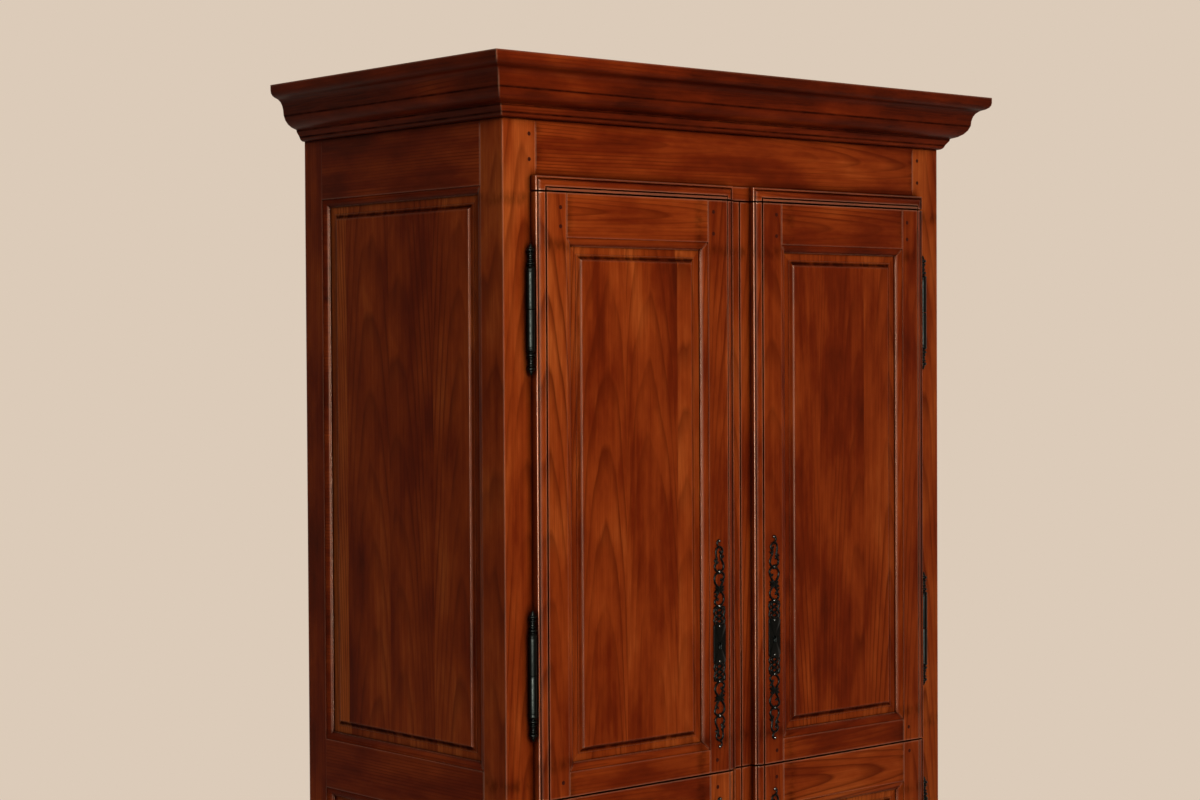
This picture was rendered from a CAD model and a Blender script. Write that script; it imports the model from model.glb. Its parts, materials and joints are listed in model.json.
# %% [markdown]
# # A television armoire, dressed in Blender
# Construction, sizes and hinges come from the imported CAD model. This lesson gives it its looks: stained and
# glazed maple under a satin lacquer, turned iron hinges, pierced iron escutcheons, and the pegs that lock
# its joints. Lengths are in metres, in the CAD model's frame: the doors face -Y, and the floor is at Z = 0.

# %% Load the frame
import json

import bpy
import numpy as np
from mathutils import Matrix, Vector

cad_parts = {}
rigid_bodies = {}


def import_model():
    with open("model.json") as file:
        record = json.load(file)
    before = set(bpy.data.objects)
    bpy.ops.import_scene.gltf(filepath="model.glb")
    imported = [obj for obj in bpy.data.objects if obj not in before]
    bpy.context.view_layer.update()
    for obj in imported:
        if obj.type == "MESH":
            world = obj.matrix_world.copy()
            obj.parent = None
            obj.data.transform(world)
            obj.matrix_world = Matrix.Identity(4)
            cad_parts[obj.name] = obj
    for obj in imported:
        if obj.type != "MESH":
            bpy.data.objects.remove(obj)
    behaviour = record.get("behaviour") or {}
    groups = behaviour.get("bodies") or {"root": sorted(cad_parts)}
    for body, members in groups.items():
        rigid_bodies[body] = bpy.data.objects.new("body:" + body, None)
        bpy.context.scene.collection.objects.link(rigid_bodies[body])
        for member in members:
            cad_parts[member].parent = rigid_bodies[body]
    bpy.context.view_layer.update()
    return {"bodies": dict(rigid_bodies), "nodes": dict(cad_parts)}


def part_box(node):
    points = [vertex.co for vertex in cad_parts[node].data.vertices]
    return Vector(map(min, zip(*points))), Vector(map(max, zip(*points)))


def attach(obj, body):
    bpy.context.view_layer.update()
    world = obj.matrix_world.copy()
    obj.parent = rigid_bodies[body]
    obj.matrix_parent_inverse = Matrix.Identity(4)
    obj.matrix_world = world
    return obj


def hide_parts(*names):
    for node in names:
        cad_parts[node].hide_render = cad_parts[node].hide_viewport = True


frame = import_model()
nodes = frame["nodes"]
MM = 0.001

# %% [markdown]
# ## The camera
# The photograph was taken from the front left with a long lens, about 1.6 m above the floor. The case's
# straight edges told where the camera stood and how it was turned, so the model falls on the same lines.
# The picture is a crop: its middle lies right of the lens's axis, which the camera's shift repeats.

# %% Place the camera
CAMERA_PLACE = (-3.1698, -3.3019, 1.5797)
YAW, PITCH, ROLL = np.radians((39.0597, -1.1905, -0.3853))
PICTURE_WIDTH, PICTURE_HEIGHT = 1200, 800
FOCAL_PIXELS = 2338.4
AXIS_PIXEL = (449.97, 400.27)
SENSOR = 36.0


def in_scene(name, data):
    """A new object in the scene."""
    thing = bpy.data.objects.new(name, data)
    bpy.context.scene.collection.objects.link(thing)
    return thing


camera_data = bpy.data.cameras.new("camera")
camera_data.sensor_width = SENSOR
camera_data.lens = FOCAL_PIXELS / PICTURE_WIDTH * SENSOR
camera_data.shift_x = (PICTURE_WIDTH / 2 - AXIS_PIXEL[0]) / PICTURE_WIDTH
camera_data.shift_y = (AXIS_PIXEL[1] - PICTURE_HEIGHT / 2) / PICTURE_WIDTH
camera = in_scene("camera", camera_data)
forward = Vector((np.sin(YAW) * np.cos(PITCH), np.cos(YAW) * np.cos(PITCH), np.sin(PITCH)))
level_right = forward.cross(Vector((0, 0, 1))).normalized()
level_up = level_right.cross(forward)
right = level_right * np.cos(ROLL) + level_up * np.sin(ROLL)
up = level_up * np.cos(ROLL) - level_right * np.sin(ROLL)
axes = Matrix((right, up, -forward)).transposed().to_4x4()
camera.matrix_world = Matrix.Translation(CAMERA_PLACE) @ axes
bpy.context.scene.camera = camera
bpy.context.scene.view_settings.view_transform = "Standard"
print("lens", round(camera_data.lens, 2), "mm, shift", round(camera_data.shift_x, 4))

# %% [markdown]
# ## Small helpers
# Every finish is a graph of shader nodes. One function adds a node and joins it to those before it, so a
# material reads from top to bottom like a recipe. Another turns sRGB hex colours, as a colour picker shows
# them, into the linear values that the renderer works in.

# %% Add a node, read a colour


def colour(hex_value):
    """Turns an sRGB hex colour into linear RGBA."""
    channels = np.array([int(hex_value[i : i + 2], 16) for i in (1, 3, 5)]) / 255
    linear = np.where(channels <= 0.04045, channels / 12.92, ((channels + 0.055) / 1.055) ** 2.4)
    return (*linear.tolist(), 1.0)


def add(tree, kind, inputs=(), **settings):
    """Adds a node with its settings, and sets or joins its inputs. A plain kind is a ShaderNode's.

    inputs lists values, nodes or outputs in the order of the sockets, or maps a socket's name or number to
    one. A node stands for the first of its outputs that is in use.
    """
    node = tree.nodes.new(kind if "Node" in kind else "ShaderNode" + kind)
    for key, value in settings.items():
        setattr(node, key, value)
    for socket, value in inputs.items() if isinstance(inputs, dict) else enumerate(inputs):
        if isinstance(value, bpy.types.Node):
            value = next(output for output in value.outputs if output.enabled)
        if isinstance(value, bpy.types.NodeSocket):
            tree.links.new(value, node.inputs[socket])
        else:
            node.inputs[socket].default_value = value
    return node


def blank_material(name):
    """A material with nothing in it but its output."""
    material = bpy.data.materials.new(name)
    material.use_nodes = True
    material.node_tree.nodes.clear()
    return material, material.node_tree


print("half grey, #808080, is", round(colour("#808080")[0], 3), "in linear light")

# %% [markdown]
# ## Nodes that come back all the time
# Most steps of a finish are a sum or product, one range stretched over another, a mix or a ramp of colours,
# or numbers that the piece itself carries. Each gets a short name.

# %% Shorthands


def calc(operation, *values, **settings):
    """A math node, in the tree that its values are in. MULTIPLY_ADD gives a * b + c."""
    tree = next(value.id_data for value in values if hasattr(value, "id_data"))
    return add(tree, "Math", values, operation=operation, **settings)


def remap(value, low, high, to_low=0.0, to_high=1.0, **settings):
    """Stretches low..high over to_low..to_high and holds the ends."""
    return add(value.id_data, "MapRange", [value, low, high, to_low, to_high], **settings)


def mixed(share, ground, tint):
    """The ground's colour where share is 0, and the tint where it is 1."""
    return add(share.id_data, "Mix", {0: share, 6: ground, 7: tint}, data_type="RGBA")


def ramp(value, stops):
    """Colours along a value. stops are pairs of a place and a colour, from low to high."""
    node = add(value.id_data, "ValToRGB", [value])
    elements = node.color_ramp.elements
    elements[0].position, elements[0].color = stops[0]
    elements[1].position, elements[1].color = stops[-1]
    for place, shade in stops[1:-1]:
        elements.new(place).color = shade
    return node


def split(value):
    """The three parts of a place or of a colour."""
    return add(value.id_data, "SeparateXYZ", [value]).outputs


def carried(tree, name):
    """Three numbers that the piece carries as a custom property."""
    return add(tree, "Attribute", attribute_name=name, attribute_type="OBJECT").outputs["Vector"]


print("shorthands: calc, remap, mixed, ramp, split, carried")

# %% [markdown]
# ## Stained and glazed maple
# The armoire is made of a close-grained hardwood such as maple, stained a warm reddish brown. A dark glaze
# was wiped over the stain and left in corners and quirks, and a satin lacquer closes the surface. The eye
# sees soft blotches, thin growth lines that run into pointed arches along the middle of a flat-sawn board,
# short fine fibres, dark corners, and a broad soft shine.
#
# The growth lines are worked out, not painted. A trunk's rings are circles round its pith, so a point's
# distance from the pith, divided by the width of a ring, says which ring it lies in. The pith leans a
# little to the board, so the lines close into arches.

# %% Stain, glaze and grain in numbers
# Each noise has the size of its blobs along, across and into the board in metres, its detail and roughness.
PATTERNS = {
    "wander": ((0.9, 0.08, 0.08), 2.0, 0.5),
    "ring_strength": ((0.5, 0.05, 0.05), 2.0, 0.5),
    "blotch": ((0.22, 0.075, 0.075), 5.0, 0.55),
    "streak": ((0.55, 0.01, 0.01), 3.0, 0.5),
    "fibre": ((0.1, 0.0028, 0.0028), 3.0, 0.6),
    "wiped": ((0.035, 0.016, 0.016), 3.0, 0.6),
}
STAIN = [(0.0, "#3a0e03"), (0.26, "#631f07"), (0.54, "#863711"), (0.95, "#a85522")]
FIBRE_TINT = "#631f07"
GROWTH_LINE = "#4a1403"
GLAZE = "#1c0702"
print("noises", list(PATTERNS))

# %% [markdown]
# ## A point's place in its board
# Grain runs along a board, so everything is worked out in three directions that turn with the piece: along
# the grain, across the board's face, and into it. Two kinds of piece change direction half way: moulds that
# are mitred round the case's corners, and side frames, which have upright stiles and level rails.

# %% Grain coordinates
CASE_HALF_WIDTH = 575 * MM
CASE_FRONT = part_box("front_left_post")[0].y
REAR_STILE_FRONT = 274 * MM


def grain_coordinates(tree, order, seam):
    """Object coordinates in the order (along the grain, across it, into the board).

    seam says where another order takes over: at a side frame's rear stile, or at a mitre.
    """
    place = add(tree, "TexCoord").outputs["Object"]
    parts = split(place)
    picked, turned_round = (
        add(tree, "CombineXYZ", [parts["XYZ".index(letter)] for letter in letters])
        for letters in (order, "ZYX" if seam == "rear stile" else "YZX"))
    if seam is None:
        return picked
    if seam == "rear stile":
        past = calc("GREATER_THAN", parts[1], REAR_STILE_FRONT)
    else:
        outwards = calc("SUBTRACT", calc("ABSOLUTE", parts[0]), CASE_HALF_WIDTH)
        forwards = calc("SUBTRACT", CASE_FRONT, parts[1])
        past = calc("GREATER_THAN", outwards, forwards)
    return add(tree, "Mix", {0: past, 4: picked, 5: turned_round}, data_type="VECTOR")


print("the case's front is at y =", round(CASE_FRONT, 4))

# %% [markdown]
# ## Boards glued side by side
# Panels and shelves are glued up from narrower boards, each with its own colour and pith. The place across
# the piece, divided by a board's width, counts them, and white noise at that number gives each its values.

# %% Board by board
BOARD_WIDTH = 128 * MM
BOARD_SHIFT = 0.5
BOARD_TONES = 0.5


def board_place(tree, across, own, glued):
    """Shift along the trunk, tone, and distance from the pith: of the whole piece, or of each board."""
    own_shift, own_tone, own_pith = split(own)
    if not glued:
        return own_shift, own_tone, calc("SUBTRACT", across, own_pith)
    place = calc("ADD", calc("DIVIDE", across, BOARD_WIDTH), own_shift)
    board = calc("FLOOR", place)
    key = add(tree, "CombineXYZ", [board, own_shift])
    chance = add(tree, "TexWhiteNoise", {"Vector": key}, noise_dimensions="2D").outputs["Color"]
    board_shift, board_tone, board_pith = split(chance)
    from_pith = calc("SUBTRACT", calc("SUBTRACT", place, board), board_pith)
    tone = calc("MULTIPLY_ADD", board_tone, BOARD_TONES, own_tone)
    return (calc("MULTIPLY_ADD", board_shift, BOARD_SHIFT, own_shift),
            calc("SUBTRACT", tone, BOARD_TONES / 2),
            calc("MULTIPLY", from_pith, BOARD_WIDTH))


print("glued boards are", BOARD_WIDTH / MM, "mm wide")

# %% [markdown]
# ## Where the cloth left the glaze
# Glaze is brushed on and wiped off again. The cloth can't reach everywhere, so dark brown stays in quirks
# and corners, along the cove round a raised field, and in soft patches where a rail meets a stile. Coves
# and joints are known places: each piece carries them as numbers, and the material measures how far off
# they are.

# %% Glaze in coves and at marked lines
JOINT_SMEAR, JOINT_SHARE = 20 * MM, 0.5
QUIRK_SMEAR, QUIRK_SHARE = 3.2 * MM, 1.0
COVE_FOOT = 5 * MM
COVE_REACH = 6.5 * MM
SIDE_COVE_SHARE = 0.55
END_COVE_EXTRA = 0.7


def field_lines(tree, grain):
    """The depth of the glaze in the cove round a raised field, and where the margin at its ends is."""
    above = add(tree, "VectorMath", [grain, carried(tree, "low_edge")], operation="SUBTRACT")
    below = add(tree, "VectorMath", [carried(tree, "high_edge"), grain], operation="SUBTRACT")
    inside = add(tree, "VectorMath", [above, below], operation="MINIMUM")
    from_end, from_side, _ = split(inside)
    nearest = calc("MINIMUM", from_end, from_side)
    off_foot = calc("ABSOLUTE", calc("ADD", nearest, COVE_FOOT))
    at_end = calc("LESS_THAN", from_end, from_side)
    share = calc("MULTIPLY_ADD", at_end, END_COVE_EXTRA, SIDE_COVE_SHARE)
    in_cove = calc("MULTIPLY", remap(off_foot, COVE_REACH, 0.0), share)
    beyond = remap(from_end, -COVE_FOOT, -2 * COVE_FOOT)
    return in_cove, calc("MULTIPLY", beyond, at_end)


def marked_lines(tree, place, reach, share):
    """How deep the glaze lies near the three places that the piece names as its glaze lines."""
    marks = split(carried(tree, "glaze_lines"))
    away = [calc("ABSOLUTE", calc("SUBTRACT", place, mark)) for mark in marks]
    nearest = calc("MINIMUM", calc("MINIMUM", away[0], away[1]), away[2])
    return remap(nearest, reach, 0.0, 0.0, share, interpolation_type="SMOOTHSTEP")


print("glaze reaches", JOINT_SMEAR / MM, "mm from a joint")

# %% [markdown]
# ## Growth lines
# Each ring starts pale, darkens slowly into its late wood, and ends at once where the next one begins. So
# the fraction of the ring's number says how dark the wood is. A slow noise lets the rings wander, and
# another makes some of them faint.

# %% Growth lines
RING_WIDTH = 6.2 * MM
PITH_LEAN = 0.045
PITH_DEPTH = 0.012
RING_WANDER = 0.02
LATE_WOOD = [(0.5, (0, 0, 0, 1)), (0.88, (1, 1, 1, 1)), (1.0, (0, 0, 0, 1))]
RING_STRENGTH = (0.36, 0.66, 0.15, 0.8)


def board_noises(tree, up_trunk, across, deep):
    """The noises of PATTERNS at a place in the trunk."""
    place = add(tree, "CombineXYZ", [up_trunk, across, deep])
    noise = {}
    for pattern, (size, detail, roughness) in PATTERNS.items():
        scaled = add(tree, "Mapping", {"Vector": place, "Scale": [1 / v for v in size]})
        noise[pattern] = add(tree, "TexNoise", {
            "Vector": scaled, "Scale": 1.0, "Detail": detail, "Roughness": roughness})
    return noise


def growth_lines(tree, up_trunk, from_pith, noise):
    """How far through its ring a point is, and how strong the dark line is there.

    The distance from the pith is the root of from_pith^2 + depth^2. The depth grows with the height.
    """
    depth = calc("MULTIPLY_ADD", up_trunk, PITH_LEAN, PITH_DEPTH)
    off_pith = add(tree, "CombineXYZ", [from_pith, depth])
    reach = add(tree, "VectorMath", [off_pith], operation="LENGTH").outputs["Value"]
    wandered = calc("MULTIPLY_ADD", noise["wander"], RING_WANDER, reach)
    rings = calc("FRACT", calc("DIVIDE", wandered, RING_WIDTH))
    strength = remap(noise["ring_strength"], *RING_STRENGTH)
    return rings, calc("MULTIPLY", ramp(rings, LATE_WOOD), strength)


print("rings are", RING_WIDTH / MM, "mm wide")

# %% [markdown]
# ## Stain
# The stain took unevenly. Wide blotches, narrower streaks and the tone of the board are added up, and the
# sum picks one of its shades. Its middle is the same for an even wood and a blotchy one. Growth lines and
# fibres go over it in darker tints.

# %% Stain
STREAK_SHARE = 0.4
MIDDLE_SHADE = 0.505
FIBRE_STRENGTH = (0.36, 0.8, 0.0, 0.55)


def stained(noise, tone, unevenness, line):
    """The colour of the stained wood, before glaze and wear. line is the strength of the growth lines."""
    cloudy = calc("MULTIPLY_ADD", noise["blotch"], unevenness, tone)
    streaky = calc("MULTIPLY_ADD", noise["streak"], STREAK_SHARE, cloudy)
    level = (unevenness + STREAK_SHARE) / 2 - MIDDLE_SHADE
    shade = calc("SUBTRACT", streaky, level)
    stain = ramp(shade, [(place, colour(hex_value)) for place, hex_value in STAIN])
    lined = mixed(line, stain, colour(GROWTH_LINE))
    return mixed(remap(noise["fibre"], *FIBRE_STRENGTH), lined, colour(FIBRE_TINT))


print("the stain has", len(STAIN), "shades")

# %% [markdown]
# ## Corners and arrises
# Corners are found by ambient occlusion, which measures how much of the sky round a point is covered: a
# long reach finds corners, and a short one the quirks, which hold the most glaze. Sent inwards, the rays
# find the arrises, because they soon come out again. There the stain is rubbed paler and the lacquer is
# buffed, so an arris draws a thin bright line.

# %% Glaze and wear
GLAZE_REACH = 18 * MM
QUIRK_REACH = 6 * MM
WEAR_REACH = 3.6 * MM
DEEPEST_GLAZE = 0.92
CORNER_SKY = (0.95, 0.5, 0.0, DEEPEST_GLAZE)
QUIRK_SKY = (0.95, 0.6, 0.0, 0.97)
OPEN_SKY = (0.85, 0.97)
ARRIS_WOOD = (0.9, 0.58)
CLOTH_MISSED = (0.38, 0.62)


def sky(tree, reach, **settings):
    """The share of the sky that is open within reach."""
    rays = add(tree, "AmbientOcclusion", {"Distance": reach}, samples=6, **settings)
    return rays.outputs["AO"]


def glaze_and_wear(tree, in_lines, wiped, evenness):
    """How deep the glaze lies, and how much is worn off the arrises that stand in the open."""
    wide_sky, near_sky = sky(tree, GLAZE_REACH), sky(tree, QUIRK_REACH)
    patchy = remap(wiped, *CLOTH_MISSED, evenness, 1.0)
    left_in_lines = calc("MULTIPLY", in_lines, patchy)
    deepest = calc("MAXIMUM", remap(wide_sky, *CORNER_SKY), left_in_lines)
    capped = calc("MINIMUM", deepest, DEEPEST_GLAZE)
    glaze = calc("MAXIMUM", capped, remap(near_sky, *QUIRK_SKY))
    on_arris = remap(sky(tree, WEAR_REACH, inside=True, only_local=True), *ARRIS_WOOD)
    uncovered = calc("MULTIPLY", *(remap(seen, *OPEN_SKY) for seen in (wide_sky, near_sky)))
    return glaze, calc("MULTIPLY", on_arris, uncovered)


print("glaze is sought within", GLAZE_REACH / MM, "mm")

# %% [markdown]
# ## The wood as one graph
# Now the layers follow each other as the maker laid them: the bare wood's growth lines, stain, glaze, wear
# along the arrises, and a satin lacquer. It is thin and a little amber, so it mirrors weakly and warmly,
# and hardly at all where glaze lies.

# %% Stained maple
LACQUER_GLOSS = 0.03
LACQUER_TINT = "#ffd6b4"
ARRIS_GLOSS = 0.42
WORN_WOOD = "#c9906c"
WORN_SHARE = 0.2
MARGIN_TONE = 0.2
FINE_EVENNESS, JOINT_EVENNESS = 0.6, 0.12


def stained_maple(use, order, seam=None, glued=False, unevenness=1.45):
    """Maple with its grain along the first letter of order. glued makes it of boards side by side.

    unevenness says how far the blotches reach.
    """
    material, tree = blank_material("stained_maple_" + use)
    grain = grain_coordinates(tree, order, seam)
    along, across, deep = split(grain)
    shift, tone, from_pith = board_place(tree, across, carried(tree, "board"), glued)
    up_trunk = calc("ADD", along, shift)
    noise = board_noises(tree, up_trunk, calc("ADD", across, shift), deep)
    rings, line = growth_lines(tree, up_trunk, from_pith, noise)
    evenness = FINE_EVENNESS
    if glued:
        in_lines, margin = field_lines(tree, grain)
        tone = calc("MULTIPLY_ADD", margin, MARGIN_TONE, tone)
    elif seam == "mitre":
        in_lines = marked_lines(tree, across, QUIRK_SMEAR, QUIRK_SHARE)
    else:
        in_lines = marked_lines(tree, along, JOINT_SMEAR, JOINT_SHARE)
        evenness = JOINT_EVENNESS
    glaze, wear = glaze_and_wear(tree, in_lines, noise["wiped"], evenness)
    glazed = mixed(glaze, stained(noise, tone, unevenness, line), colour(GLAZE))
    worn = mixed(calc("MULTIPLY", wear, WORN_SHARE), glazed, colour(WORN_WOOD))
    shine = calc("MULTIPLY_ADD", wear, ARRIS_GLOSS, LACQUER_GLOSS)
    gloss = calc("MULTIPLY", shine, calc("SUBTRACT", 1.0, glaze))
    relief = add(tree, "Bump", {
        "Strength": 0.22, "Distance": 0.0002,
        "Height": calc("MULTIPLY_ADD", rings, 0.3, noise["fibre"])})
    shader = add(tree, "BsdfPrincipled", {
        "Base Color": worn, "Specular IOR Level": gloss, "Specular Tint": colour(LACQUER_TINT),
        "Normal": relief, "Roughness": calc("MULTIPLY_ADD", noise["blotch"], 0.14, 0.27)})
    add(tree, "OutputMaterial", [shader])
    return material


print("an arris mirrors", round(1 + ARRIS_GLOSS / LACQUER_GLOSS), "times as much as a flat")

# %% [markdown]
# ## One wood for each run of the grain
# The graph turns with the grain, so each way that a member can lie has a material of its own: upright,
# level, mitred round the corners, a side frame's two ways, and glued panels and boards. The back is
# plainer than the rest, so its blotches reach less far.

# %% Mix the woods
upright = stained_maple("upright", "ZXY")
crosswise = stained_maple("crosswise", "XZY")
mitred = stained_maple("mitred", "XZY", seam="mitre")
side_frame_wood = stained_maple("side_frame", "YZX", seam="rear stile")
front_panel_wood = stained_maple("front_panel", "ZXY", glued=True)
side_panel_wood = stained_maple("side_panel", "ZYX", glued=True)
boards_wood = stained_maple("boards", "XYZ", glued=True)
back_wood = stained_maple("back", "XZY", unevenness=0.65)
print("woods", len(bpy.data.materials))

# %% [markdown]
# ## Easing the edges
# The CAD solids have knife edges. A real arris is eased with sandpaper and catches the light, so five
# modifiers follow each other: join the loose triangles, merge flat ones into whole faces, bevel what is
# sharp, shade what is nearly flat as smooth, and keep the wide faces level.

# %% Ease the edges
EASED_EDGE = 0.5 * MM


def smooth_shading_group():
    """A geometry node group that shades smooth across edges blunter than 32 degrees."""
    group = bpy.data.node_groups.new("shade_nearly_flat_edges_smooth", "GeometryNodeTree")
    for way in ("INPUT", "OUTPUT"):
        group.interface.new_socket("Geometry", in_out=way, socket_type="NodeSocketGeometry")
    given = add(group, "NodeGroupInput").outputs[0]
    bare = add(group, "GeometryNodeRemoveAttribute", {0: given, "Name": "custom_normal"}).outputs[0]
    angle = add(group, "GeometryNodeInputMeshEdgeAngle").outputs[0]
    blunt = add(group, "FunctionNodeCompare", [angle, np.radians(32.0)], operation="LESS_THAN").outputs[0]
    faces = add(group, "GeometryNodeSetShadeSmooth", {0: bare, "Shade Smooth": True}, domain="FACE")
    edges = add(group, "GeometryNodeSetShadeSmooth", {0: faces, "Shade Smooth": blunt}, domain="EDGE")
    add(group, "NodeGroupOutput", [edges])
    return group


SMOOTH = smooth_shading_group()


def ease_edges(piece, width):
    """Joins, flattens, bevels and smooths a piece with live modifiers."""
    piece.modifiers.new("join", "WELD").merge_threshold = 0.02 * MM
    flat = piece.modifiers.new("whole faces", "DECIMATE")
    flat.decimate_type = "DISSOLVE"
    flat.angle_limit = np.radians(0.5)
    bevel = piece.modifiers.new("eased edges", "BEVEL")
    bevel.width = width
    bevel.segments = 2
    bevel.limit_method = "ANGLE"
    bevel.use_clamp_overlap = False
    bevel.angle_limit = np.radians(34.0)
    piece.modifiers.new("smooth", "NODES").node_group = SMOOTH
    level = piece.modifiers.new("level faces", "WEIGHTED_NORMAL")
    level.keep_sharp = True
    level.weight = 100


print("arrises are eased by", EASED_EDGE / MM, "mm")

# %% [markdown]
# ## Which wood, and where its glaze lies
# A member's name says how it lies in the case, and so which wood it takes, and where others meet it, so
# where glaze stayed. Each member has three marks for that. One that isn't needed lies far outside.

# %% Woods and glaze lines by name
WOODS = {"side_frame": side_frame_wood, "side_panel": side_panel_wood, "back_panel": back_wood,
         "cornice": mitred, "plinth": mitred, "_panel": front_panel_wood, "post": upright, "stile": upright,
         "_board": boards_wood, "tv_deck": boards_wood, "shelf": boards_wood}
FIELD_INSET = 31 * MM
DOOR_JOINTS = (120 * MM, 446 * MM)
CASE_JOINT = 500 * MM
CORNICE_QUIRKS = [2.026, 1.9996, 1.9881]
NOWHERE = -9.0


def wood_for(node):
    """The first wood whose word is in the name of the CAD node."""
    return next((wood for word, wood in WOODS.items() if word in node), crosswise)


def glaze_lines_of(node):
    """Where the glaze was left: along the grain where other members join, or at the heights of quirks."""
    if node == "cornice":
        return CORNICE_QUIRKS
    if node.endswith("stile"):
        rails = [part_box("_".join(node.split("_")[:2]) + end) for end in ("_bottom_rail", "_top_rail")]
        return [rails[0][1].z, rails[1][0].z, NOWHERE]
    if node.endswith("post"):
        return [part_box("frieze_rail")[0].z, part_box("middle_rail")[1].z, NOWHERE]
    if node in ("frieze_rail", "middle_rail", "bottom_rail"):
        return [-CASE_JOINT, CASE_JOINT, NOWHERE]
    if node.endswith("rail"):
        side = -1 if "left" in node else 1
        return [side * DOOR_JOINTS[0], side * DOOR_JOINTS[1], NOWHERE]
    return [NOWHERE] * 3


print("the cornice has", len(CORNICE_QUIRKS), "marked quirks")

# %% [markdown]
# ## Giving each member its board
# Each member is a board of its own, so it gets its place in the trunk, its tone and its pith as three
# numbers that the material reads. The tones follow the real piece: darker rails over and under the panels,
# and a paler hinge stile on the left. The rest comes from a seeded draw, so it is the same each time.

# %% Dress the CAD nodes
CHOSEN_TONES = {
    "cornice": -0.38,
    "head_moulding": -0.16,
    "front_left_post": 0.08,
    "frieze_rail": -0.12,
    "upper_left_top_rail": -0.1,
    "upper_left_hinge_stile": 0.08,
    "upper_left_panel": 0.04,
    "upper_left_bottom_rail": -0.2,
    "upper_right_top_rail": -0.16,
    "upper_right_panel": -0.2,
    "upper_right_bottom_rail": -0.22,
    "upper_right_hinge_stile": -0.08,
    "left_side_frame": -0.2,
    "left_upper_side_panel": 0.1,
}
TRUNK_SPAN = 0.8
PITH_SPREAD = 0.06
TONE_SPREAD = 0.25
draw = np.random.default_rng(7)
for node, piece in nodes.items():
    shift, tone, pith = draw.random(3)
    if node.endswith(("hinge", "escutcheon")):
        continue
    low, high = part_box(node)
    wood = wood_for(node)
    middle = (low.z + high.z) / 2 if wood in (crosswise, mitred, back_wood) else (low.x + high.x) / 2
    tone = CHOSEN_TONES.get(node, (tone - 0.5) * TONE_SPREAD)
    order = {front_panel_wood: "zxy", side_panel_wood: "zyx", boards_wood: "xyz"}.get(wood)
    if order:
        piece["low_edge"] = [getattr(low, letter) + FIELD_INSET for letter in order]
        piece["high_edge"] = [getattr(high, letter) - FIELD_INSET for letter in order]
    else:
        piece["glaze_lines"] = glaze_lines_of(node)
    piece["board"] = [shift * TRUNK_SPAN, tone, middle + (pith - 0.5) * PITH_SPREAD]
    piece.data.materials.clear()
    piece.data.materials.append(wood)
    ease_edges(piece, EASED_EDGE)
print("wooden nodes", sum("board" in piece for piece in nodes.values()))

# %% [markdown]
# ## Blackened iron
# Hinges and escutcheons are iron that was blackened with hot oil. It leaves a thin dark skin, so the metal
# reflects little, except on high places that hands and cloths have polished. Dents from the hammer make the
# highlights waver, so one noise drives the colour, the roughness and the height.

# %% Iron finish
IRON_HOLLOW = "#060706"
IRON_WORN = "#10110f"
NAIL_HOLLOW = "#1a1917"
NAIL_WORN = "#57554f"
LOCK_DARK = "#020201"
DENT_SIZE = 3.2 * MM


def blackened_iron(name, hollow, worn, roughness):
    """Dark metal whose colour, roughness and height follow one noise as wide as a hammer dent."""
    material, tree = blank_material(name)
    place = add(tree, "TexCoord").outputs["Object"]
    dents = add(tree, "TexNoise", {
        "Vector": place, "Scale": 1 / DENT_SIZE, "Detail": 4.0, "Roughness": 0.6})
    wear = remap(dents, 0.38, 0.72)
    skin = mixed(wear, colour(hollow), colour(worn))
    relief = add(tree, "Bump", {"Strength": 0.35, "Distance": 0.0003, "Height": dents})
    shader = add(tree, "BsdfPrincipled", {
        "Base Color": skin, "Metallic": 1.0, "Normal": relief,
        "Roughness": calc("MULTIPLY_ADD", dents, -0.25, roughness)})
    add(tree, "OutputMaterial", [shader])
    return material


iron = blackened_iron("blackened_iron", IRON_HOLLOW, IRON_WORN, 0.5)
rubbed_iron = blackened_iron("rubbed_iron", NAIL_HOLLOW, NAIL_WORN, 0.42)
lock_dark, lock_tree = blank_material("dark_of_the_lock")
add(lock_tree, "OutputMaterial", [add(lock_tree, "BsdfDiffuse", [colour(LOCK_DARK)])])
print("irons", iron.name, rubbed_iron.name)

# %% [markdown]
# ## From grids of points to faces
# A lathe-turned hinge, a bar of scrollwork and a domed nail have one thing in common: each is a grid of
# points that closes round its short way. So one function makes their faces: four-sided ones between
# neighbouring points, and one at each open end. The sign of the volume says which way they face.

# %% Close a grid


def closed_grid(points):
    """Faces of a tube of rows, each row a ring. points has the shape (rows, ring, 3).

    Side faces join point (i, j) to its neighbours in row i + 1, with j counted round the ring. Where the
    last row lies on the first, the rows close like a doughnut. The volume is a third of place times
    normal, summed over the faces, and where it comes out negative, every face is reversed.
    """
    doughnut = np.allclose(points[0], points[-1])
    if doughnut:
        points = points[:-1]
    rows, ring, _ = points.shape
    i, j = np.meshgrid(np.arange(rows if doughnut else rows - 1), np.arange(ring), indexing="ij")
    k = (j + 1) % ring
    m = (i + 1) % rows
    quads = np.stack((i * ring + j, i * ring + k, m * ring + k, m * ring + j), -1).reshape(-1, 4)
    flat = points.reshape(-1, 3)
    centre = flat.mean(0)
    a, b, c, d = (flat[quads[:, n]] - centre for n in range(4))
    volume = np.einsum("ij,ij->", np.cross(c - a, d - b), (a + b + c + d)) / 24
    ends = [] if doughnut else [np.arange(ring)[::-1], (rows - 1) * ring + np.arange(ring)]
    if volume < 0:
        quads = quads[:, ::-1]
        ends = [end[::-1] for end in ends]
    return flat, quads.tolist() + [end.tolist() for end in ends]


BOX = np.array([[(0, 0, z), (1, 0, z), (1, 1, z), (0, 1, z)] for z in (0.0, 1.0)])
print("a box has", len(closed_grid(BOX)[1]), "faces")

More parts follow.
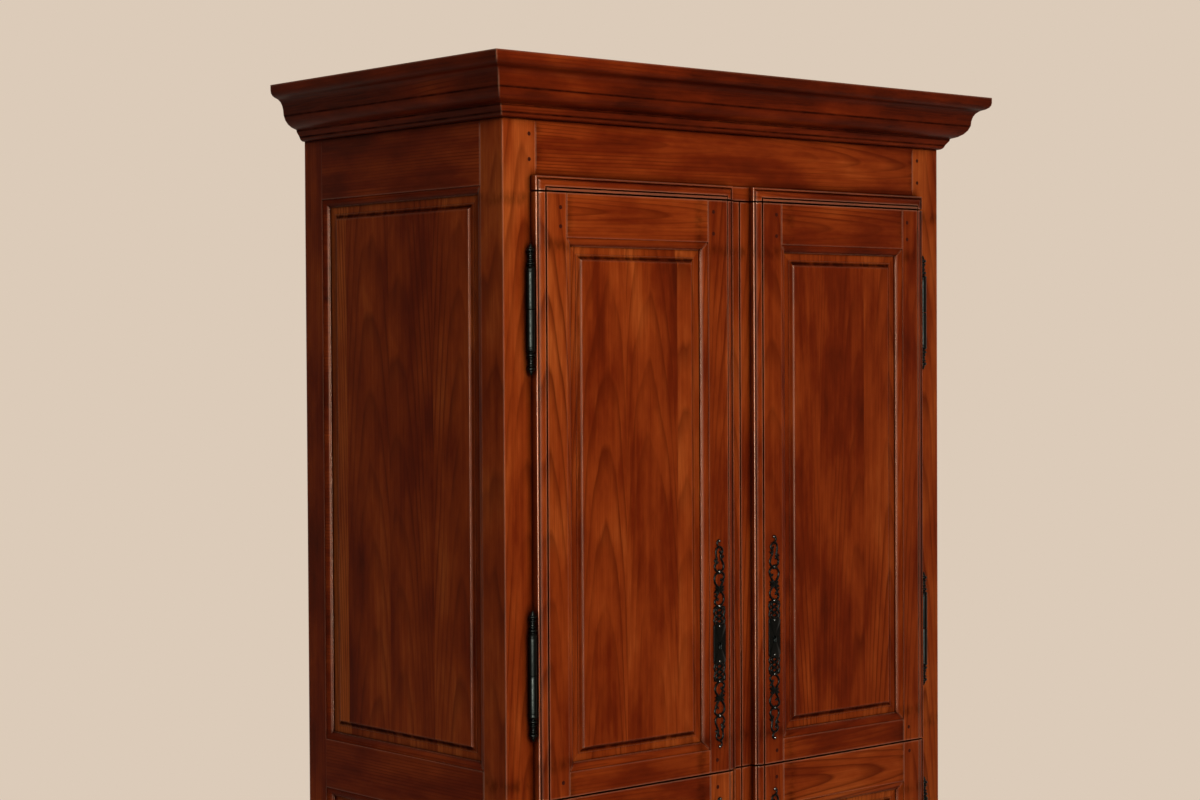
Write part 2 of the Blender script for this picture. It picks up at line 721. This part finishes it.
# %% [markdown]
# ## From faces to one object
# A hinge half is a barrel and a leaf, and an escutcheon is dozens of bars in one piece of iron. So all the
# grids of a piece, by material, are gathered into one object that rides on its body.

# %% Gather the grids of a piece


def piece_from(name, grids_by_material, rides_on):
    """One smooth-shaded object from several closed grids. Edges sharper than 40 degrees stay sharp."""
    points, faces, numbers, start = [], [], [], 0
    for number, grids in enumerate(grids_by_material.values()):
        for grid in grids:
            flat, grid_faces = closed_grid(np.asarray(grid, float))
            points.append(flat)
            faces += [[start + n for n in face] for face in grid_faces]
            numbers += [number] * len(grid_faces)
            start += len(flat)
    mesh = bpy.data.meshes.new(name)
    mesh.from_pydata(np.concatenate(points).tolist(), [], faces)
    mesh.shade_smooth()
    mesh.set_sharp_from_angle(angle=np.radians(40.0))
    for material in grids_by_material:
        mesh.materials.append(material)
    mesh.polygons.foreach_set("material_index", numbers)
    piece = in_scene(name, mesh)
    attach(piece, rides_on)
    return piece


print("meshes before the iron", len(bpy.data.meshes))

# %% [markdown]
# ## Turnings and plates
# Two grids come back: a turning, which is a profile swung about an axis as on a lathe, and a flat plate
# with eased edges.

# %% Turn and flatten


def turned(radii, heights, ring=36):
    """A lathe surface about the Z axis: x = r(h) cos a, y = r(h) sin a, z = h."""
    angle = np.linspace(0, 2 * np.pi, ring, endpoint=False)
    r = np.asarray(radii)[:, None]
    h = np.asarray(heights)[:, None]
    return np.stack((r * np.cos(angle), r * np.sin(angle), h + 0 * angle), -1)


def block(low, high, ease):
    """A plate with eased edges: rings of a rounded rectangle, drawn in by ease at both faces."""
    low, high = np.array(low), np.array(high)
    centre, half = (low + high) / 2, (high - low) / 2
    corner = np.linspace(0, np.pi / 2, 4)
    quarter = np.stack((np.cos(corner), np.sin(corner)), -1)
    signs = np.array([(1, 1), (-1, 1), (-1, -1), (1, -1)])
    flips = [quarter, quarter[::-1], quarter, quarter[::-1]]
    core = half[1:] - 2 * ease
    ring = np.concatenate([sign * (core + 2 * ease * flip) for sign, flip in zip(signs, flips)])
    drawn = np.array([2 * ease, ease * 0.6, 0, 0, ease * 0.6, 2 * ease])[:, None, None]
    depth = np.array([-1, -1 + 0.3 * ease / half[0], -1 + ease / half[0],
                      1 - ease / half[0], 1 - 0.3 * ease / half[0], 1])
    shrunk = ring[None] * (1 - drawn / np.abs(half[1:])[None, None])
    first = np.broadcast_to((depth * half[0])[:, None, None], (6, len(ring), 1))
    return np.concatenate((first, shrunk), -1) + centre


print("a turning has", turned([1, 1], [0, 1]).shape[1], "points round")

# %% [markdown]
# ## Lift-off hinges
# A door hangs on two turned hinges. The lower half of each sits on the post and carries a pin, and the
# upper half drops over it, so the door lifts off. Both end in the same finial: a point, a large bead,
# smaller beads with a neck between, and a flared collar. On a lathe this is one curve turned about an axis,
# so it is one here: its radius is the largest of the neck, the barrel and the beads at each height.

# %% The profile of a hinge half
HINGE_HALF_LENGTH = 114 * MM
BARREL_RADIUS = 7 * MM
NECK_RADIUS = 3.2 * MM
JOINT_CLEARANCE = 0.5 * MM
TIP_LENGTH = 7.2 * MM
TIP_RADIUS = 3.4 * MM
COLLAR = (39.4 * MM, 43.6 * MM, 45.6 * MM)
COLLAR_RADIUS = 7.7 * MM
RING_LINE = 48.2 * MM
# Each bead's middle, half its length and its radius.
BEADS = MM * np.array([
    (11.4, 4.3, 6.7), (18.1, 2.5, 5.7), (23.2, 1.7, 4.3), (28.4, 2.6, 5.6), (35.0, 3.8, 6.8)])
GROOVE_DEPTH, GROOVE_WIDTH = 0.5 * MM, 0.6 * MM


def hinge_radius(h):
    """The radius at height h from the tip.

    Each bead is half an ellipse: its radius times the root of 1 - ((h - middle) / half its length)^2.
    """
    middle, half_length, radius = BEADS.T[:, :, None]
    beads = radius * np.sqrt(np.clip(1 - ((h - middle) / half_length) ** 2, 0, 1))
    tip = TIP_RADIUS * np.sqrt(np.clip(h / TIP_LENGTH, 0, 1)) * (h < TIP_LENGTH + 1 * MM)
    neck = NECK_RADIUS * (h > TIP_LENGTH)
    flare = np.interp(h, COLLAR, (5.0 * MM, COLLAR_RADIUS, BARREL_RADIUS), left=0)
    groove = GROOVE_DEPTH * np.exp(-(((h - RING_LINE) / GROOVE_WIDTH) ** 2))
    return np.maximum.reduce([*beads, tip, neck, flare - groove])


print("beads", len(BEADS), "radius of the widest", BEADS[:, 2].max())

# %% [markdown]
# ## Barrels and leaves
# Each half also has a leaf, a thin plate let into the wood: the door's reaches sideways into the door, and
# the post's straight back into the post. The halves meet with a small gap at the middle of the hinge.

# %% Turn the hinges
HINGE_AXIS = (0.5205, -0.26)
LEAF_THICKNESS = 2 * MM
LEAF_LENGTH = 56 * MM
LEAF_EASE = 0.3 * MM
MEETING_END = HINGE_HALF_LENGTH - JOINT_CLEARANCE


def hinge_half(node, rides_on, axis, middle_height, up):
    """A turned half: the door's when up is 1, the post's when it is -1."""
    h = np.concatenate((np.linspace(0.05 * MM, COLLAR[2], 150), np.linspace(46 * MM, 50.5 * MM, 14),
                        [MEETING_END - 0.6 * MM, MEETING_END - 0.15 * MM, MEETING_END]))
    radii = hinge_radius(h)
    radii[0] = 0.4 * MM
    radii[-2:] -= (0.1 * MM, 0.6 * MM)
    barrel = turned(radii, up * (HINGE_HALF_LENGTH - h)) + np.array((*axis, middle_height))
    low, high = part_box(node)
    leaf_low, leaf_high = sorted((middle_height + up * JOINT_CLEARANCE,
                                  middle_height + up * (JOINT_CLEARANCE + LEAF_LENGTH)))
    half_thick = LEAF_THICKNESS / 2
    wide, deep = (axis[0] - half_thick, axis[0] + half_thick), (axis[1] + BARREL_RADIUS * 0.8, high.y)
    if up > 0:
        inward = -np.sign(axis[0])
        wide = sorted((axis[0] + inward * BARREL_RADIUS * 0.8, high.x if inward > 0 else low.x))
        deep = (axis[1] - half_thick, axis[1] + half_thick)
    leaf = block((wide[0], deep[0], leaf_low), (wide[1], deep[1], leaf_high), LEAF_EASE)
    made = piece_from("turned_" + node, {iron: [barrel, leaf]}, rides_on)
    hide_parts(node)
    return made


halves = []
for node in [name for name in nodes if name.endswith("hinge")]:
    on_post = node.endswith("post_hinge")
    low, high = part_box(node)
    axis = (-HINGE_AXIS[0] if "left" in node else HINGE_AXIS[0], HINGE_AXIS[1])
    half_up = -1 if on_post else 1
    tip_height = low.z if on_post else high.z
    middle_height = tip_height - half_up * HINGE_HALF_LENGTH
    rides_on = "case" if on_post else "_".join(node.split("_")[:2]) + "_door"
    halves.append(hinge_half(node, rides_on, axis, middle_height, half_up))
print("hinge halves", len(halves), "faces each", len(halves[0].data.polygons))

# %% [markdown]
# ## Pierced escutcheons
# Each door has a long iron escutcheon over its lock: a flat plate with the keyhole, above and below it a
# lattice of two entwined bars, and then three stages of scrolls that climb to a curled tip, with a spiky
# leaf between. Such a piece is cut out of sheet iron and filed, so its bars have round faces and flat
# backs. Each bar is a few points with a width, seen from the front of the left doors, in millimetres from
# the middle of the plate.

# %% Scrolls of the upper half
PLATE_HALF = (15.5, 37.0)
PLATE_THICKNESS = 1.6
BAR_HEIGHT = 2.0
KEYHOLE = {"bow": 2.8, "slot": 1.4, "drop": 9.0}
RIM_CORNERS = [(0, 3.6), (-3.4, 0.9), (-2.1, -3.2), (-2.1, -9), (0, -10.4)]
KEYHOLE_RIM = [(x, z, 1.1) for x, z in RIM_CORNERS + [(-x, z) for x, z in RIM_CORNERS[-2::-1]]]
NAIL_RADIUS = 2.4
LATTICE_SIDE = [(11.6, 36, 3.8), (13.6, 43.6, 4.4), (11.4, 51.6, 4), (13.6, 59.6, 4.4), (11.8, 67, 3.8)]
SCROLLS = {
    "tip curl": [(2.6, 188.5, 2.4), (0.2, 190.6, 3.4), (-3.4, 190, 3.6), (-5, 186, 3.6), (-3.4, 181.6, 3.8),
        (0.6, 178.4, 4.2)],
    "oval left": [(0.5, 179, 3.4), (-5.2, 177, 4.2), (-8.2, 171.6, 4), (-8, 164.5, 3.6), (-6.4, 156.8, 4.6),
        (-8.6, 149.6, 4.8), (-11.6, 143.6, 4.2), (-9.6, 137, 3.8), (-2, 133, 3.4)],
    "oval right": [(-0.5, 179, 3.4), (5.2, 177.2, 4.2), (8.6, 172.6, 4), (7.8, 167.2, 4.2),
        (4.6, 163.4, 4.8), (5.2, 157, 4.2), (8.8, 150.6, 4), (11.4, 144.4, 4), (9.8, 137.4, 3.8),
        (2, 133, 3.4)],
    "oval inner leaf": [(7.4, 166.4, 3.4), (3.4, 168.4, 4.2), (1, 171.8, 2.2)],
    "oval left leaf": [(-6.6, 156, 3.6), (-10.6, 155.6, 3.4), (-12.8, 152.6, 1.6)],
    "oval right leaf": [(5.4, 161, 3.4), (9.2, 159.8, 3.4), (11.6, 162.6, 1.6)],
    "oval left curl": [(-8.6, 149.6, 4), (-4.6, 149.2, 3.4), (-3.6, 152.4, 2.2)],
    "second left": [(-1.6, 132, 3.6), (-8.6, 128.6, 4.2), (-12.4, 121.6, 4.4), (-10.8, 113.4, 4.2),
        (-5.6, 106.6, 4.4), (-1.6, 102.4, 4.8)],
    "second right": [(1.6, 132, 3.6), (8.8, 130.4, 4.2), (12.6, 125.2, 4.4), (10.8, 119.2, 4.2),
        (5.8, 117.2, 4.2), (3.4, 119.8, 3)],
    "second right foot": [(11.4, 118.4, 3.6), (8.6, 112.8, 4.2), (4.2, 106.8, 4.4), (1.6, 102.4, 4.8)],
    "third right": [(0, 98.6, 4.6), (6.4, 93.8, 4.2), (11.2, 87.2, 4.2), (11.6, 80.6, 4.2), (7.6, 74.4, 4),
        (0.6, 70, 3.8)],
    "third left": [(-1.6, 98.4, 4.6), (-4.2, 92.6, 4.4), (-7.6, 88.2, 4.8), (-6.4, 84, 4.4),
        (-10.8, 80.2, 4.8), (-11.4, 75.4, 4.2), (-6.6, 71.2, 3.8), (-0.6, 69.6, 3.8)],
    "third left leaf": [(-7.2, 87.6, 3.6), (-10.8, 88.4, 3.2), (-12.8, 91.2, 1.6)],
    "third left lobe": [(-6.6, 84.4, 3.6), (-3.4, 82.6, 3.4), (-3.8, 79.6, 2)],
    "lattice right frame": LATTICE_SIDE,
    "lattice left frame": [(-x, z, width) for x, z, width in LATTICE_SIDE],
    "lattice head": [(-14.4, 66.8, 3.6), (-6, 68.4, 3.8), (0, 69.6, 4.4), (6, 68.4, 3.8),
        (14.4, 66.8, 3.6)],
}
LATTICE = {"foot": 36.5, "head": 67.5, "turns": 1.5, "swing": 7.6, "width": 4.2}
LEAF_SPIKES = [(200, 14), (158, 12), (126, 9), (54, 9.4), (24, 13.6), (-8, 12), (-40, 10), (228, 10.4)]
LEAF_CENTRE = (0, 100)
SPIKE_WIDTHS = [(0.0, 7.0), (0.45, 6.6), (0.8, 4.2), (1.0, 1.4)]
NAILS = [(0, 32.5), (0, 69.5), (0, 133.0), (0.6, 190.0)]
BOSS = {"height": 133.0, "radius": 4.6, "rise": 1.7}
print("scrolls", len(SCROLLS), "with", sum(len(v) for v in SCROLLS.values()), "points")

# %% [markdown]
# ## A bar along a curve
# A filed scroll flows evenly from point to point. So does a Catmull-Rom curve, which passes through all its
# points without a kink. The half-round profile is carried along it and drawn in a little at both ends.

# %% Curves and bars
BAR_END = 0.35


def smooth_curve(points, steps=7):
    """Between two points, a cubic whose slope at each is half the way between its neighbours."""
    p = np.asarray(points, float)
    p = np.concatenate(([2 * p[0] - p[1]], p, [2 * p[-1] - p[-2]]))
    t = np.linspace(0, 1, steps, endpoint=False)[:, None]
    a, b, c, d = (p[n : len(p) - 3 + n, None] for n in range(4))
    cubic, square = (d - a + 3 * (b - c)) * t**3, (2 * a - 5 * b + 4 * c - d) * t**2
    curve = 0.5 * (2 * b + (c - a) * t + square + cubic)
    return np.concatenate((curve.reshape(-1, p.shape[1]), p[-2:-1]))


def bar(points, lift=0.0, steps=7):
    """A half-round bar: the profile (w/2 cos a, height sin a) with a flat back, carried along the curve.

    Across the bar goes the curve's normal, which is its direction turned by a quarter.
    """
    curve = smooth_curve(points, steps)
    place, width = curve[:, :2], curve[:, 2:3]
    direction = np.gradient(place, axis=0)
    direction /= np.linalg.norm(direction, axis=1, keepdims=True)
    normal = np.stack((direction[:, 1], -direction[:, 0]), -1)
    angle = np.linspace(0, np.pi, 9)
    across = np.concatenate((np.cos(angle), [-0.92, 0.92])) / 2
    height = np.concatenate((0.25 + 0.75 * np.sin(angle), [0.0, 0.0]))
    ends = np.ones(len(place))
    ends[[0, -1]] = BAR_END
    spread = place[:, None] + normal[:, None] * (width * ends[:, None])[:, None] * across[None, :, None]
    rise = (lift + BAR_HEIGHT * height)[None] * np.ones((len(place), 1))
    return np.concatenate((spread[..., :1], -rise[..., None], spread[..., 1:]), -1)


print("a straight bar has", len(bar([(0, 0, 4), (0, 9, 4)])), "rows")

# %% [markdown]
# ## Nails, plate and lock
# The keyhole makes the plate a ring: its grid goes from the hole's back edge out, over the front, and in
# again. Behind the hole lies the dark of the lock, and round-headed nails hold it all.

# %% Nails, plate and lock


def domed(x, z, radius, height, base=0.0):
    """A nail head: half an ellipse turned about its axis, which points out of the plate."""
    a = np.linspace(0, np.pi / 2, 7)
    heads = turned(radius * np.cos(a).clip(0.03), height * np.sin(a), 16)
    return np.stack((x + heads[..., 0], -(base + heads[..., 2]), z + heads[..., 1]), -1)


def plate_ring():
    """The flat plate round its keyhole: rings from the hole's back edge out, over the front, and in."""
    a = np.linspace(0, 2 * np.pi, 64, endpoint=False) + np.pi / 64
    c, s = np.cos(a), np.sin(a)
    reach = np.minimum(PLATE_HALF[0] / np.abs(c), PLATE_HALF[1] / np.abs(s))
    outer = np.stack((reach * c, reach * s), -1)
    bow, slot, drop = KEYHOLE.values()
    below = np.minimum(slot / np.maximum(np.abs(c), 1e-6), drop / np.maximum(-s, 1e-6))
    hole_reach = np.where(s < 0, np.maximum(bow, below), bow)
    hole = np.stack((hole_reach * c, hole_reach * s), -1)
    rings = [hole, outer * 0.995, outer, outer, outer * 0.985, hole * 1.08, hole, hole]
    depths = [0, 0, 0.1, PLATE_THICKNESS - 0.35, PLATE_THICKNESS, PLATE_THICKNESS, PLATE_THICKNESS - 0.2, 0]
    return np.stack([np.stack((r[:, 0], np.full(len(a), -d), r[:, 1]), -1) for r, d in zip(rings, depths)])


def lock_hollow():
    """The dark end of the keyhole: a thin plate behind it, a little wider and longer than the hole."""
    low = (-0.05, -KEYHOLE["bow"] * 1.3, -KEYHOLE["drop"] * 1.1)
    plate = block(low, (-0.35, KEYHOLE["bow"] * 1.3, KEYHOLE["bow"] * 1.4), 0.1)
    return plate[..., [1, 0, 2]]


print("plate", PLATE_HALF[0] * 2, "by", PLATE_HALF[1] * 2, "mm")

# %% [markdown]
# ## Four escutcheons from one half
# The upper half is made once. Half a turn gives the lower one, and the mirror image serves the right
# doors. The nails are rubbed brighter than the rest, by years of hands.

# %% Put the escutcheons together


def half_escutcheon():
    """All grids of the upper half, in millimetres."""
    grids = [bar(points) for points in SCROLLS.values()]
    z = np.linspace(LATTICE["foot"], LATTICE["head"], 17)
    turn = (z - LATTICE["foot"]) / (LATTICE["head"] - LATTICE["foot"]) * LATTICE["turns"] * 2 * np.pi
    width = np.full(len(z), LATTICE["width"])
    for sign in (1, -1):
        strand = np.stack((sign * LATTICE["swing"] * np.sin(turn), z, width), -1)
        grids.append(bar(strand, steps=3))
    for angle, length in LEAF_SPIKES:
        way = np.array((np.cos(np.radians(angle)), np.sin(np.radians(angle))))
        spots = [(*(way * length * share + LEAF_CENTRE), width) for share, width in SPIKE_WIDTHS]
        grids.append(bar(spots, lift=0.1, steps=4))
    grids.append(domed(0, BOSS["height"], BOSS["radius"], BOSS["rise"]))
    return grids


HALF = half_escutcheon()
HALF_NAILS = [domed(x, z, NAIL_RADIUS, 2.0, 1.3) for x, z in NAILS]
HALF_TURN = np.array((-1, 1, -1))
DOOR_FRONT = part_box("upper_left_hinge_stile")[0].y
escutcheons = []
for node in [name for name in nodes if name.endswith("escutcheon")]:
    low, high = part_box(node)
    mirror = 1 if "left" in node else -1
    centre = np.array(((low.x + high.x) / 2, high.y, (low.z + high.z) / 2))
    grids = {
        iron: [plate_ring(), bar(KEYHOLE_RIM, lift=0.9)] + HALF + [grid * HALF_TURN for grid in HALF],
        rubbed_iron: HALF_NAILS + [grid * HALF_TURN for grid in HALF_NAILS],
        lock_dark: [lock_hollow()],
    }
    grids = {material: [centre + grid * np.array((mirror, 1, 1)) * MM for grid in flat_grids]
             for material, flat_grids in grids.items()}
    made = piece_from("pierced_" + node, grids, "_".join(node.split("_")[:2]) + "_door")
    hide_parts(node)
    escutcheons.append(made)
print("escutcheons", len(escutcheons), "faces each", len(escutcheons[0].data.polygons))

# %% [markdown]
# ## Pegs
# Rails are held in the stiles by mortises and tenons, and wooden pegs driven through lock each joint. Their
# ends were cut nearly flush, and end grain drinks the stain, so a peg is made as a dark, slightly domed
# disc about eight millimetres across.

# %% Drive the pegs
PEG_RADIUS = 3.9 * MM
PEG_PROUD = 0.35 * MM
PORE_SIZE = MM / 1.5
PORE_COLOUR = "#4a1a0a"
POST_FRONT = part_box("front_left_post")[0].y
PEGS = {
    "case": (POST_FRONT, [(514.4, 1955), (514.4, 1911)]),
    "upper": (DOOR_FRONT, [(460, 1829), (460, 1796), (84, 1833), (84, 1793), (461, 827), (80, 823)]),
    "lower": (DOOR_FRONT, [(463, 779), (79, 773), (463, 186), (80, 186)]),
}


def end_grain():
    """Dark end grain: a fine noise for its pores, between the glaze's colour and a red brown."""
    material, tree = blank_material("stained_maple_end_grain")
    place = add(tree, "TexCoord").outputs["Object"]
    pores = add(tree, "TexNoise", {"Vector": place, "Scale": 1 / PORE_SIZE, "Detail": 2.0})
    shade = mixed(pores, colour(GLAZE), colour(PORE_COLOUR))
    relief = add(tree, "Bump", {"Strength": 0.3, "Distance": 0.0002, "Height": pores})
    shader = add(tree, "BsdfPrincipled", {
        "Base Color": shade, "Roughness": 0.5, "Specular IOR Level": LACQUER_GLOSS, "Normal": relief})
    add(tree, "OutputMaterial", [shader])
    return material


peg_wood = end_grain()
for body in frame["bodies"]:
    level = body.split("_")[0]
    face, spots = PEGS[level]
    sides = [-1, 1] if level == "case" else [-1 if "left" in body else 1]
    discs = [domed(side * x, z, PEG_RADIUS / MM, PEG_PROUD / MM, -0.1) * MM + np.array((0, face, 0))
             for x, z in spots for side in sides]
    piece_from(body + "_pegs", {peg_wood: discs}, body)

# %% [markdown]
# ## The floor and the background
# The plain pale floor and the plain warm background are staging, and not part of the piece. The background
# is the world's colour, for the eye and for all that mirrors it. Towards its rim the floor takes on that
# colour too, so no edge shows, and near the armoire it keeps its shadow.

# %% Floor
BACKGROUND = "#dccbb9"
FLOOR_COLOUR = "#e9e2d9"
FLOOR_REACH = 2.6
SHADOW_REACH = (1.3, 2.5)
NEAR_GLOW = 0.45


def seen_or_mirrored(tree):
    """1 on rays from the camera, from gloss and through glass, and 0 on rays that carry soft light."""
    rays = add(tree, "LightPath").outputs
    mirrored = calc("ADD", rays["Is Glossy Ray"], rays["Is Transmission Ray"])
    return calc("ADD", rays["Is Camera Ray"], mirrored, use_clamp=True)


floor_mesh = bpy.data.meshes.new("floor")
rim = np.linspace(0, 2 * np.pi, 96, endpoint=False)
rim_points = np.stack((np.cos(rim), np.sin(rim), 0 * rim), -1) * FLOOR_REACH
floor_mesh.from_pydata(rim_points.tolist(), [], [list(range(len(rim)))])
floor = in_scene("floor", floor_mesh)
floor_material, ground = blank_material("floor")
matt = add(ground, "BsdfDiffuse", [colour(FLOOR_COLOUR)])
glow = add(ground, "Emission", [colour(BACKGROUND), 1.0])
place = add(ground, "TexCoord").outputs["Object"]
middle_out = add(ground, "VectorMath", [place], operation="LENGTH").outputs["Value"]
fade = remap(middle_out, *SHADOW_REACH, NEAR_GLOW, 1.0, interpolation_type="SMOOTHSTEP")
share = calc("MULTIPLY", fade, seen_or_mirrored(ground))
add(ground, "OutputMaterial", [add(ground, "MixShader", [share, matt, glow])])
floor_mesh.materials.append(floor_material)
print("floor reaches", FLOOR_REACH, "m")

# %% [markdown]
# ## Light
# One large soft lamp stands in front, to the left and well above the eye. It lights the doors evenly and
# leaves the left side of the case in shade. A weaker one stands further left, and one lights the back. Two
# make highlights only: the bright parts of a room that a satin lacquer mirrors in its mouldings.

# %% Lamps and world
WORLD_STRENGTH = 0.1
WORLD_COLOUR = "#f3ece4"
AIM = (0.0, -0.2, 1.25)


def lamp(name, place, size, power, tint, makes_light=True, makes_highlights=True):
    """Adds an area lamp at place, pointed at the middle of the doors."""
    data = bpy.data.lights.new(name, "AREA")
    data.shape = "RECTANGLE"
    data.size, data.size_y = size
    data.energy = power
    data.color = colour(tint)[:3]
    lamp_object = in_scene(name, data)
    lamp_object.location = place
    way = Vector(AIM) - Vector(place)
    lamp_object.rotation_euler = way.to_track_quat("-Z", "Y").to_euler()
    lamp_object.visible_camera = False
    lamp_object.visible_diffuse = makes_light
    lamp_object.visible_glossy = makes_highlights


lamp("front_softbox", (-1.2, -3.3, 2.95), (2.0, 1.3), 116, "#fff1e4")
lamp("left_window", (-4.1, -2.6, 2.2), (0.8, 1.8), 10, "#fdf3ef")
lamp("room_sheen", (-4.5, -4.2, 1.6), (4.7, 3.0), 1650, "#ffffff", makes_light=False)
lamp("left_sheen", (-4.0, -2.3, 1.6), (0.6, 2.4), 800, "#ffffff", makes_light=False)
lamp("rear_fill", (3.0, 3.6, 2.6), (2.0, 2.0), 70, "#f4f1ee", makes_highlights=False)

world = bpy.data.worlds.new("world")
bpy.context.scene.world = world
world.use_nodes = True
world.node_tree.nodes.clear()
air = world.node_tree
soft_light = add(air, "Background", [colour(WORLD_COLOUR), WORLD_STRENGTH])
backdrop = add(air, "Background", [colour(BACKGROUND), 1.0])
sky_seen = add(air, "MixShader", [seen_or_mirrored(air), soft_light, backdrop])
add(air, "OutputWorld", [sky_seen])
